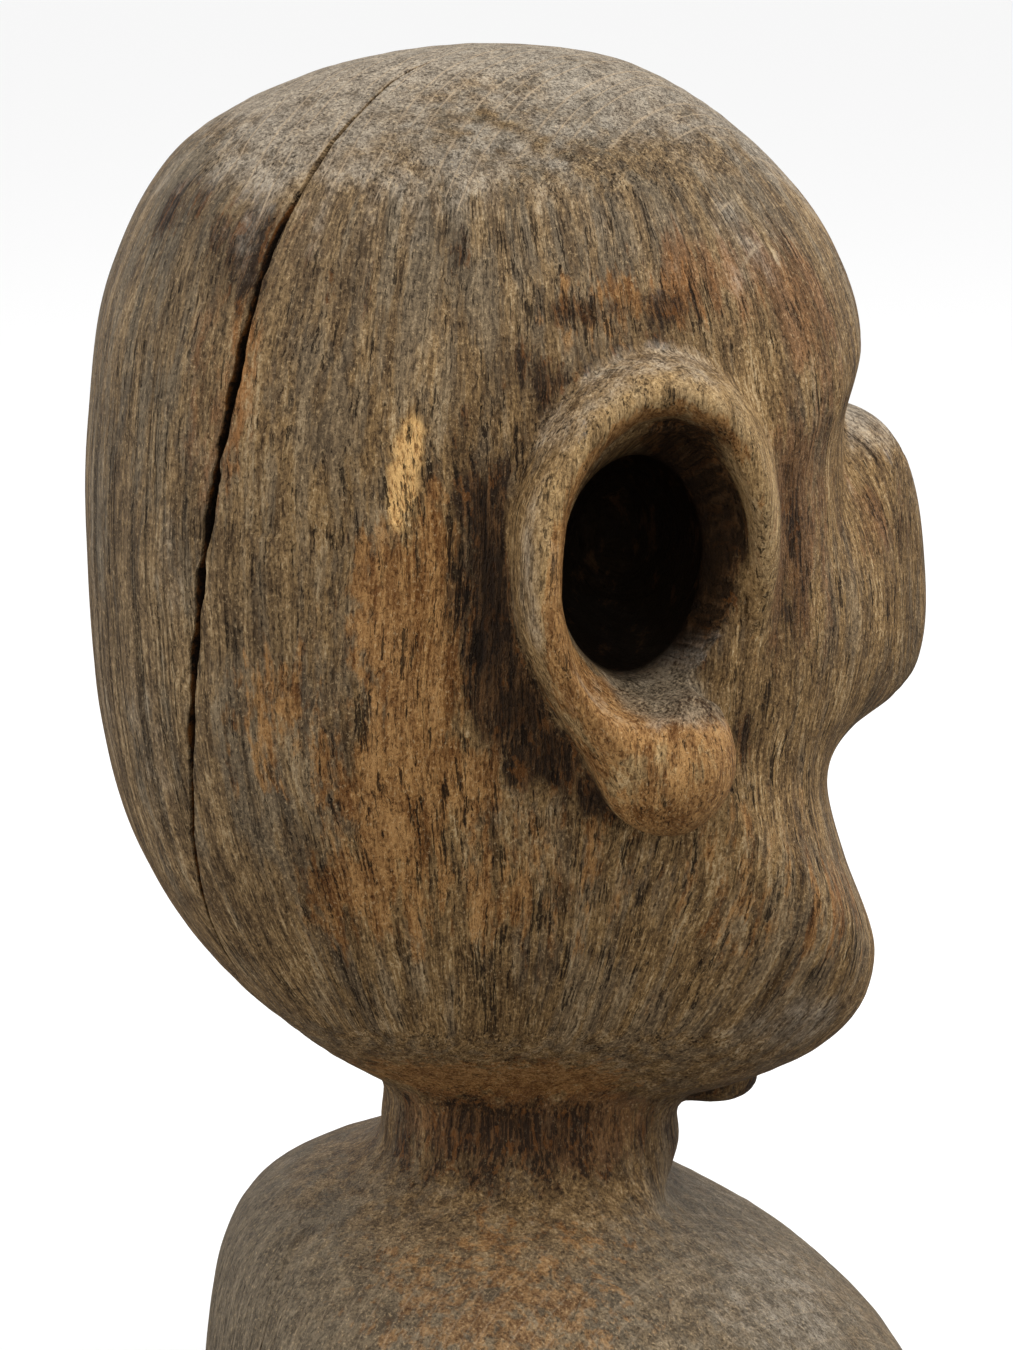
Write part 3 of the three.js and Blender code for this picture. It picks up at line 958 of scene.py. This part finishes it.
class NodeMaker:
    """Makes the nodes of one material or world."""

    def __init__(self, owner):
        self.owner = owner
        self.owner.use_nodes = True
        self.tree = self.owner.node_tree
        self.tree.nodes.clear()

    def add(self, kind, settings=None, inputs=None, output=0):
        """Adds a node, makes its settings, then fills or links its inputs, and returns one output."""
        node = self.tree.nodes.new(kind)
        count = len(self.tree.nodes) - 1
        node.location = (220 * (count % 14), -320 * (count // 14))
        for name, setting in (settings or {}).items():
            if name == "stops":
                self.set_stops(node.color_ramp, setting)
            else:
                setattr(node, name, setting)
        for name, value in (inputs or {}).items():
            if isinstance(value, Value):
                self.tree.links.new(value.socket, node.inputs[name])
            elif node.inputs[name].type == "RGBA":
                node.inputs[name].default_value = (*value, 1.0)
            else:
                node.inputs[name].default_value = value
        return Value(self, node.outputs[output]) if len(node.outputs) else None

    def set_stops(self, ramp, stops):
        """Gives a colour ramp its stops, each a place from 0 to 1 and a colour."""
        while len(ramp.elements) < len(stops):
            ramp.elements.new(1.0)
        for element, (place, colour) in zip(ramp.elements, stops):
            element.position = place
            element.color = (*colour, 1.0)

    def mark(self, name):
        """A number that the mesh carries at each of its points."""
        settings = {"attribute_type": "GEOMETRY", "attribute_name": name}
        return self.add("ShaderNodeAttribute", settings, output="Fac")

    def noise(self, place, size, detail=2.0, roughness=0.5, output="Fac"):
        """Cloudy noise from 0 to 1, about as large along each direction as given in millimetres."""
        scaled = place * tuple(1 / s for s in size)
        inputs = {"Vector": scaled, "Scale": 1.0, "Detail": detail, "Roughness": roughness}
        return self.add("ShaderNodeTexNoise", {"noise_dimensions": "3D"}, inputs, output)

    def bend(self, place, size, roughness=0.5):
        """Cloudy noise that moves a place, from -0.5 to 0.5 in each direction."""
        return self.noise(place, size, 2.0, roughness, "Color") - (0.5, 0.5, 0.5)

    def surface(self, inputs):
        """Makes the shader of a surface and gives it to the material."""
        shader = self.add("ShaderNodeBsdfPrincipled", None, inputs)
        self.add("ShaderNodeOutputMaterial", None, {"Surface": shader})

    def mix(self, factor, first, second):
        """Goes from the first colour to the second as the factor goes from 0 to 1."""
        settings = {"data_type": "RGBA", "clamp_factor": True}
        return self.add("ShaderNodeMix", settings, {0: factor, 6: first, 7: second}, 2)


def grain_directions(maker, place):
    """A place in the wood's own directions, for the shader, as in_wood works them out for the mesh."""
    across, along, up = (*ACROSS_RAYS, 0.0), (*ALONG_RAYS, 0.0), place.along((0.0, 0.0, 1.0))
    away = (place - (*GRAIN_MIDDLE, 0.0)) * (1.0, 1.0, 0.0)
    far = maker.add("ShaderNodeVectorMath", {"operation": "LENGTH"}, {0: away}, "Value")
    far = maker.add("ShaderNodeMath", {"operation": "MAXIMUM"}, {0: far, 1: GRAIN_LEAST_RADIUS})
    beside = place.along((1.0, 0.0, 0.0)).alone("ABSOLUTE")
    round_head = up.rising(*GRAIN_LOW_Z) * up.rising(*GRAIN_HIGH_Z)
    round_head = round_head * beside.rising(*GRAIN_BY_EARS) * far.rising(*GRAIN_FAR_OUT)
    flat = away * (round_head * (GRAIN_RADIUS * far**-1) + (1 - round_head))
    return maker.add("ShaderNodeCombineXYZ", None, {0: flat.along(across), 1: flat.along(along), 2: up})


def wood_patterns(maker):
    """What the wood's colour and bumps are made from, by name.

    Most are cloudy patterns from 0 to 1. Upright is a height in millimetres, low is 1 on the
    shoulders, and tone tells how pale the bare wood is.
    """
    place = maker.add("ShaderNodeTexCoord", output="Object") * (1 / MM)
    upright = place.along((0.0, 0.0, 1.0))
    straight = grain_directions(maker, place)
    bend = maker.bend(straight, (24, 24, 44))
    twist = maker.bend(straight, (4, 4, 9))
    fray = maker.bend(place, (1.2, 1.2, 1.8), 0.6)
    grain = straight + bend * (6.0, 6.0, 8.0) + twist * (0.8, 0.8, 1.0) + fray * (0.6, 0.6, 1.2)
    n = SimpleNamespace(
        place=place,
        upright=upright,
        low=upright.rising(72, 60),
        fibres=maker.noise(grain, (0.6, 0.6, 13), 4.0, 0.65),
        streaks=maker.noise(grain, (2.2, 2.2, 44), 5.0, 0.62),
        grains=maker.noise(grain, (0.42, 0.42, 1.9), 3.0, 0.65),
        hairs=maker.noise(grain, (0.5, 0.5, 13), 2.0, 0.6),
        hues=maker.noise(grain, (3.2, 3.2, 26), 4.0, 0.65),
        lines=maker.noise(straight + bend * (1.5, 1.5, 1.5), (0.8, 0.8, 90), 2.0, 0.6),
        gaps=maker.noise(grain, (0.6, 0.6, 11), 3.0, 0.6),
        slits=maker.noise(grain, (1.7, 1.7, 34), 1.0, 0.5),
        breaks=maker.noise(straight, (4, 4, 12), 4.0, 0.65),
        clouds=maker.noise(place, (24, 24, 34), 3.0, 0.55),
        mottle=maker.noise(place, (4.0, 4.0, 8), 5.0, 0.68),
        flecks=maker.noise(grain, (1.5, 1.5, 4.5), 3.0, 0.6),
        specks=maker.noise(place, (0.6, 0.6, 0.75), 3.0, 0.7),
    )
    n.tone = 0.22 * n.fibres + 0.26 * n.streaks + 0.2 * n.grains + 0.14 * n.specks + 0.18 * n.mottle
    return n


def open_grain(n, marks):
    """How open the grain is, from 0 to 1: in short grooves and splits, long thin lines, and pits."""
    gap_depth = (n.gaps + 0.05 * (1 - marks.torn) + 0.7 * (0.5 - n.breaks)).rising(0.42, 0.33)
    gap_depth = gap_depth + n.hairs.rising(0.4, 0.3) * 0.6 + n.grains.rising(0.42, 0.3) * 0.5
    splits = n.slits.vein(0.5, 0.035) * n.breaks.rising(0.5, 0.62)
    splits = splits * (0.25 + 0.6 * marks.torn) * (1 - 0.7 * marks.dust)
    grooves = gap_depth.rising(0.0, 1.2) * 0.9 + splits
    grooves = grooves * (1 - 0.45 * marks.lined) * (1 - 0.3 * n.low)
    grooves = grooves * (1 - 0.45 * n.upright.rising(96, 84))
    return grooves, n.lines.rising(0.52, 0.38) * marks.lined, n.specks.rising(0.42, 0.28)


def aged_wood(maker, look, n, marks):
    """The bare wood's colour, greyed, rubbed and handled."""
    stops = (
        (0.42, look.wood_deep),
        (0.48, look.wood_brown),
        (0.53, look.wood_ochre),
        (0.6, look.wood_pale),
    )
    colour = maker.add("ShaderNodeValToRGB", {"stops": stops}, {"Fac": n.tone})
    grey_mask = (n.clouds * 0.4 + n.hues * 0.6).rising(0.47, 0.58) * 0.5 + marks.lined * 0.45
    grey_mask = grey_mask + n.upright.rising(200, 245) * 0.4 + n.low * 0.75
    greyed = maker.mix(n.tone.rising(0.42, 0.6), look.grey_deep, look.grey_pale)
    colour = maker.mix(grey_mask, colour, greyed)
    rubbed = maker.mix(n.tone.rising(0.4, 0.56), look.wood_ochre, look.worn_pale)
    colour = maker.mix(marks.worn * 0.5, colour, rubbed)
    orange_mask = (marks.orange + 1.3 * (n.hues - 0.5) + 0.8 * (n.flecks - 0.5)).rising(0.25, 0.5)
    orange_mask = orange_mask * (1 - 0.35 * n.low) * marks.orange.rising(0.0, 0.2)
    orange_wood = maker.mix(n.tone.rising(0.42, 0.58), look.orange_deep, look.orange_pale)
    colour = maker.mix(orange_mask * 0.85, colour, orange_wood)
    red_mask = (marks.red + 1.2 * (n.hues - 0.5) + 0.8 * (n.flecks - 0.5)).rising(0.3, 0.6)
    red_wood = maker.mix(n.tone.rising(0.42, 0.6), look.stain_brown, look.wood_red)
    return maker.mix(red_mask * marks.red.rising(0.02, 0.3) * 0.6, colour, red_wood)


def stained_and_shaded_wood(maker, look, n, marks, colour):
    """The colour darkened by stains and painted shade in the hollows, under the jaw and on the neck,
    and fresh wood where the flake has come off.
    """
    # Darkened where marked dark: by stains, and by painted shade in the ear's funnel, at the ear's
    # foot, under the jaw and on the neck; a little on the shoulders too
    colour = colour * (1 - 0.4 * marks.dark - 0.08 * n.low)
    ragged = 1.2 * (n.mottle - 0.5) + 0.9 * (n.streaks - 0.5) + 0.7 * (n.grains - 0.5)
    stain_and_shade_mask = (marks.dark + 1.2 * ragged).rising(0.34, 0.62)
    stained_and_shaded = maker.mix(n.fibres.rising(0.44, 0.66), look.stain_and_shade, look.stain_brown)
    stained_and_shaded = maker.mix(n.flecks.rising(0.56, 0.62) * 0.6, stained_and_shaded, look.orange_deep)
    stained_and_shaded = maker.mix(marks.dark.rising(0.7, 1.0) * 0.7, stained_and_shaded, look.stain_and_shade)
    colour = maker.mix(stain_and_shade_mask * marks.dark.rising(0.02, 0.25) * 0.94, colour, stained_and_shaded)
    under_flake = maker.mix(n.grains.rising(0.36, 0.56), look.orange_pale, look.fresh_wood)
    return maker.mix(marks.fresh, colour, under_flake)


def ray_lines(maker, n, marks):
    """Where the pale lines of the wood's rays show, from 0 to 1."""
    turns = n.place.along((*ACROSS_RAYS, 0.0)) * (1 / RAY_REPEAT)
    turns = (turns + 0.2 * maker.noise(n.place, (30, 30, 30), 1.0)).alone("FRACT")
    patchy = maker.noise(n.place, (12, 12, 12), 3.0, 0.6)
    rays = turns.vein(0.2, 0.03) + turns.vein(0.44, 0.02) + turns.vein(0.7, 0.035)
    rays = rays * patchy.rising(0.34, 0.46)
    return rays * (marks.dust.rising(0.25, 0.6) * n.upright.rising(195, 215) + 0.3 * n.low)


def dusty_and_sheened_wood(maker, look, n, marks, rays, colour):
    """The colour with a dusty grey that doubles as a painted sheen, ray lines and grit on top."""
    # A dusty grey on what faces up, which doubles as a painted sheen of the light from above
    grey = maker.mix((n.specks * 0.2 + n.tone * 0.8).rising(0.36, 0.62), look.grey_deep, look.dust)
    dust_and_sheen_mask = (marks.dust + 1.2 * (n.mottle - 0.5) + 0.4 * (n.fibres - 0.5)).rising(0.15, 1.0)
    colour = maker.mix(dust_and_sheen_mask * 0.7, colour, grey)
    colour = maker.mix(rays * 0.75, colour, look.ray_pale)
    grit_mask = (0.6 * n.specks + 0.4 * n.mottle).rising(0.38, 0.6)
    return maker.mix(marks.shelf * 0.8, colour, maker.mix(grit_mask, look.pore_and_shade, look.grey_pale))


def sunken_wood(maker, look, n, marks, sunk, colour):
    """The colour with dark grooves, pale specks painted as glints, and cracks and ear holes painted
    dark inside as painted shade.
    """
    colour = maker.mix(sunk * 0.88, colour, look.pore_and_shade)
    # Pale specks painted on as glints of light: a painted highlight, fewer where the wood is dark
    glint_mask = n.specks.rising(0.58, 0.68) * (0.4 - 0.4 * marks.dark)
    colour = maker.mix(glint_mask, colour, look.wood_pale)
    # The cracks' walls go from orange near the mouth to dark deeper in, and the ear holes are dark:
    # painted shade
    crack_wall = maker.mix(n.fibres.rising(0.4, 0.62), look.pore_and_shade, look.orange_deep)
    colour = maker.mix(marks.crack.rising(0.0, 0.3), colour, crack_wall)
    colour = maker.mix(marks.crack.rising(0.2, 0.9), colour, look.pore_and_shade)
    blotch = maker.mix(n.mottle.rising(0.54, 0.66) * 0.4, look.pore_and_shade, look.stain_brown)
    return maker.mix(marks.ear_hole * 0.96, colour, blotch)


def weathered_wood(look):
    """Old brown wood: grooved along the grain, darkened in the hollows by stains and painted shade,
    grey and pale on top with a painted sheen.
    """
    maker = NodeMaker(bpy.data.materials.new(WOOD_SLOT))
    n = wood_patterns(maker)
    marks = SimpleNamespace(**{name: maker.mark(name) for name in MARKS})
    grooves, long_lines, pits = open_grain(n, marks)
    sunk = (grooves * (1 - 0.6 * marks.dust) + long_lines * 0.7 + pits * 0.3).rising(0.0, 1.0)
    sunk = sunk * (1 - 0.1 * marks.worn)
    rays = ray_lines(maker, n, marks)
    colour = aged_wood(maker, look, n, marks)
    colour = stained_and_shaded_wood(maker, look, n, marks, colour)
    colour = dusty_and_sheened_wood(maker, look, n, marks, rays, colour)
    colour = sunken_wood(maker, look, n, marks, sunk, colour)

    rough = 0.6 + 0.15 * (n.fibres - 0.5) + 0.12 * marks.dust + 0.2 * sunk - 0.1 * marks.worn
    height = 0.5 * n.fibres + 0.3 * n.streaks - 0.9 * grooves - 0.35 * long_lines
    height = height + 0.6 * n.specks + 0.7 * n.grains + 0.25 * n.mottle - 0.2 * pits + 0.1 * rays
    inputs = {"Strength": look.grain_strength, "Distance": look.grain_relief, "Height": height}
    bumps = maker.add("ShaderNodeBump", None, inputs)
    maker.surface(
        {"Base Color": colour, "Roughness": rough, "Normal": bumps, "Specular IOR Level": 0.14}
    )
    return maker.owner


def pale_floor(tone):
    """A plain matt floor."""
    maker = NodeMaker(bpy.data.materials.new("pale_floor"))
    inputs = {"Base Color": (tone, tone, tone), "Roughness": 0.9, "Specular IOR Level": 0.0}
    maker.surface(inputs)
    return maker.owner


def soft_light(look):
    """Even white light from all round, weaker from below the horizon."""
    maker = NodeMaker(bpy.data.worlds.new("soft_light"))
    upward = maker.add("ShaderNodeTexCoord", output="Generated").along((0.0, 0.0, 1.0))
    strength = look.ground + (look.sky - look.ground) * upward.rising(*HORIZON)
    inputs = {"Color": (1.0, 1.0, 1.0), "Strength": strength}
    background = maker.add("ShaderNodeBackground", None, inputs)
    maker.add("ShaderNodeOutputWorld", None, {"Surface": background})
    return maker.owner


def hang_lamp(name, power, size, spot):
    """A large round lamp that points at the figure. Its size and spot are in metres."""
    lamp = bpy.data.lights.new(name, "AREA")
    lamp.shape = "DISK"
    lamp.size = size
    lamp.energy = power
    hung = bpy.data.objects.new(name, lamp)
    hung.location = spot
    hung.rotation_euler = (Vector(LAMP_AIM) - hung.location).to_track_quat("-Z", "Y").to_euler()
    bpy.context.scene.collection.objects.link(hung)


def linear(red, green, blue):
    """A screen colour from 0 to 255 as the light that a shader works with."""
    return tuple(
        c / 12.92 if c <= 0.04045 else ((c + 0.055) / 1.055) ** 2.4
        for c in (red / 255, green / 255, blue / 255)
    )


def colour_property(name, description, red, green, blue):
    return bpy.props.FloatVectorProperty(
        name=name,
        description=description,
        default=linear(red, green, blue),
        subtype="COLOR",
        min=0.0,
        max=1.0,
    )


def number_property(name, description, default, low, high, **kind):
    return bpy.props.FloatProperty(
        name=name, description=description, default=default, min=low, max=high, **kind
    )


def length_property(name, description, default, low, high):
    kind = {"subtype": "DISTANCE", "unit": "LENGTH", "precision": 5}
    return number_property(name, description, default, low, high, **kind)


def angle_property(name, description, degrees):
    return bpy.props.FloatProperty(
        name=name,
        description=description,
        default=math.radians(degrees),
        subtype="ANGLE",
        unit="ROTATION",
    )


class CarvingSizes(bpy.types.PropertyGroup):
    """Sizes of the carving's mesh and of its worn surface."""

    cell: length_property(
        "Cell", "Spacing of the points that the carving is made from", 0.0011, 0.0009, 0.004
    )
    triangles: bpy.props.IntProperty(
        name="Triangles",
        description="How many triangles the carving keeps before it is cracked",
        default=172000,
        min=5000,
        max=190000,
    )
    unevenness: length_property(
        "Unevenness", "How far the hand-carved surface wanders", 0.0003, 0.0, 0.001
    )
    grain_ridges: length_property(
        "Grain ridges", "How far the weathered grain stands out", 0.00011, 0.0, 0.0005
    )


class WoodLook(bpy.types.PropertyGroup):
    """Colours and surface of the weathered wood."""

    wood_deep: colour_property("Deep streaks", "Darkest streaks along the grain", 76, 54, 28)
    wood_brown: colour_property("Brown", "The wood's middle brown", 114, 88, 56)
    wood_ochre: colour_property("Ochre", "Lighter ochre wood", 153, 121, 77)
    wood_pale: colour_property("Pale streaks", "Palest streaks along the grain", 206, 177, 134)
    wood_red: colour_property("Red", "Reddish handled wood", 150, 98, 56)
    grey_deep: colour_property("Deep grey", "Weathered grey wood, darker", 92, 80, 64)
    grey_pale: colour_property("Pale grey", "Weathered grey wood, paler", 144, 128, 104)
    orange_deep: colour_property("Deep orange", "Bare wood, darker streaks", 112, 69, 29)
    orange_pale: colour_property("Pale orange", "Bare wood, paler streaks", 186, 138, 82)
    fresh_wood: colour_property("Fresh wood", "Wood under a flake that came off", 236, 190, 124)
    worn_pale: colour_property("Worn wood", "Wood rubbed pale on the edges", 220, 182, 126)
    # Also the colour of the painted shade in the ear's funnel, at the ear's foot, under the jaw and on
    # the neck
    stain_and_shade: colour_property("Stain", "Dark stain in the hollows", 36, 22, 10)
    stain_brown: colour_property("Brown stain", "Paler streaks in the dark stain", 104, 72, 42)
    # Also painted deep in the cracks and ear holes as painted shade
    pore_and_shade: colour_property("Pores", "Inside of grooves and cracks", 28, 18, 8)
    # Also painted on what faces up as a sheen of the light from above
    dust: colour_property("Dust", "Pale dust and wear on top", 198, 187, 170)
    ray_pale: colour_property("Ray lines", "Pale lines of the rays", 184, 162, 134)
    grain_strength: number_property(
        "Grain strength",
        "How strongly the fine grain catches the light",
        1.0,
        0.0,
        1.0,
        subtype="FACTOR",
    )
    grain_relief: length_property("Grain relief", "Depth of the fine grain", 0.0007, 0.0, 0.002)


class StageLook(bpy.types.PropertyGroup):
    """The floor, the light and the camera."""

    floor_tone: number_property(
        "Floor tone", "How pale the floor is", 0.93, 0.0, 1.0, subtype="FACTOR"
    )
    sky: number_property(
        "Surrounding light", "Strength of the even light from all round", 1.0, 0.0, 5.0
    )
    ground: number_property(
        "Light from below", "Strength of the even light from below the horizon", 0.27, 0.0, 5.0
    )
    lamp_power: number_property(
        "Overhead lamp", "Power of the large soft lamp over the figure", 11.0, 0.0, 500.0, unit="POWER"
    )
    side_power: number_property(
        "Side lamp", "Power of the large soft lamp behind the figure", 6.0, 0.0, 500.0, unit="POWER"
    )
    camera_azimuth: angle_property(
        "Camera azimuth", "Direction that the camera looks from, counted round the figure", 262.0
    )
    camera_elevation: angle_property(
        "Camera elevation", "How far above level the camera stands", 12.0
    )
    camera_distance: length_property(
        "Camera distance", "From the camera to the point that it looks at", 0.7, 0.2, 5.0
    )
    aim_height: length_property(
        "Aim height", "Height of the point that the camera looks at", 0.156, 0.0, 1.0
    )


class BUST_OT_carve_figure(bpy.types.Operator):
    """Carve the head and shoulders, wear their surface, split them and colour the wood"""

    bl_idname = "bust.carve_figure"
    bl_label = "Carve the Figure"

    def execute(self, context):
        sizes = context.scene.carving_sizes
        look = context.scene.wood_look
        cell = sizes.cell / MM
        p, outward, quads = carved_net(cell)
        lift = relief(p, outward, sizes.unevenness / MM, sizes.grain_ridges / MM)
        p = p + outward * lift[:, None]
        low, high = (np.array(corner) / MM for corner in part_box(FIGURE_NODE))
        low[2] = -SPARE_BELOW
        p = np.clip(p, low + BOX_MARGIN, high - BOX_MARGIN)
        figure = new_object("weathered_figure", p, quads)
        thin = figure.modifiers.new("fewer_triangles", "DECIMATE")
        thin.ratio = min(1.0, sizes.triangles / (2 * len(quads)))
        thin.use_collapse_triangulate = True
        apply_modifiers(figure)
        blades = cutter_for_cracks()
        cut = figure.modifiers.new("cracks", "BOOLEAN")
        cut.operation = "DIFFERENCE"
        cut.solver = "MANIFOLD"
        cut.object = blades
        before = len(figure.data.polygons)
        apply_modifiers(figure)
        bpy.data.objects.remove(blades)
        mesh = figure.data
        if len(mesh.polygons) == before:
            raise RuntimeError("The cracks were not cut into the figure")
        p = mesh_points(mesh)
        mesh.shade_smooth()
        mesh.set_sharp_from_angle(angle=math.radians(SHARP_ANGLE))
        for name, numbers in wear_masks(p, mesh_outward(mesh)).items():
            mark = mesh.attributes.new(name, "FLOAT", "POINT")
            mark.data.foreach_set("value", np.clip(numbers, 0, 1).astype(np.float32))
        mesh.materials.clear()
        mesh.materials.append(weathered_wood(look))
        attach(figure, "root")
        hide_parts(FIGURE_NODE)
        return {"FINISHED"}


class BUST_OT_set_stage(bpy.types.Operator):
    """Lay the pale floor, light the scene softly and place the camera"""

    bl_idname = "bust.set_stage"
    bl_label = "Set the Stage"

    def execute(self, context):
        scene = context.scene
        look = scene.stage_look
        reach = FLOOR_REACH * MM
        corners = [(-reach, -reach, 0), (reach, -reach, 0), (reach, reach, 0), (-reach, reach, 0)]
        floor = bpy.data.objects.new("floor", bpy.data.meshes.new("floor"))
        floor.data.from_pydata(corners, [], [(0, 1, 2, 3)])
        floor.data.materials.append(pale_floor(look.floor_tone))
        scene.collection.objects.link(floor)
        floor.visible_diffuse = False
        floor.visible_glossy = False

        scene.world = soft_light(look)
        hang_lamp("overhead_lamp", look.lamp_power, 0.9, (-0.25, -0.6, 1.25))
        hang_lamp("side_lamp", look.side_power, 1.2, (-0.5, 1.3, 0.25))

        azimuth, elevation = look.camera_azimuth, look.camera_elevation
        back = Vector(
            (
                math.sin(azimuth) * math.cos(elevation),
                -math.cos(azimuth) * math.cos(elevation),
                math.sin(elevation),
            )
        )
        camera = bpy.data.cameras.new("camera")
        camera.sensor_fit = "AUTO"
        camera.sensor_width = SENSOR_WIDTH
        camera.lens = LENS
        camera.clip_end = 100.0
        stand = bpy.data.objects.new("camera", camera)
        stand.location = Vector((0, 0, look.aim_height)) + back * look.camera_distance
        stand.rotation_euler = back.to_track_quat("Z", "Y").to_euler()
        scene.collection.objects.link(stand)
        scene.camera = stand
        scene.view_settings.view_transform = "Standard"
        return {"FINISHED"}


class BUST_PT_carved_bust(bpy.types.Panel):
    """Makes the carved figure and its stage, one step at a time"""

    bl_label = "Carved Bust"
    bl_idname = "BUST_PT_carved_bust"
    bl_space_type = "VIEW_3D"
    bl_region_type = "UI"
    bl_category = "Carved Bust"

    def draw(self, context):
        for operator, group in (
            (BUST_OT_carve_figure, (context.scene.carving_sizes, context.scene.wood_look)),
            (BUST_OT_set_stage, (context.scene.stage_look,)),
        ):
            box = self.layout.box()
            for owner in group:
                for name in owner.__annotations__:
                    box.prop(owner, name)
            box.operator(operator.bl_idname)


GROUPS = {"carving_sizes": CarvingSizes, "wood_look": WoodLook, "stage_look": StageLook}
CLASSES = (*GROUPS.values(), BUST_OT_carve_figure, BUST_OT_set_stage, BUST_PT_carved_bust)


def register():
    for cls in CLASSES:
        bpy.utils.register_class(cls)
    for name, group in GROUPS.items():
        setattr(bpy.types.Scene, name, bpy.props.PointerProperty(type=group))


def unregister():
    for name in GROUPS:
        delattr(bpy.types.Scene, name)
    for cls in reversed(CLASSES):
        bpy.utils.unregister_class(cls)


def main():
    register()
    bpy.ops.bust.carve_figure()
    bpy.ops.bust.set_stage()


if __name__ == "__main__":
    main()
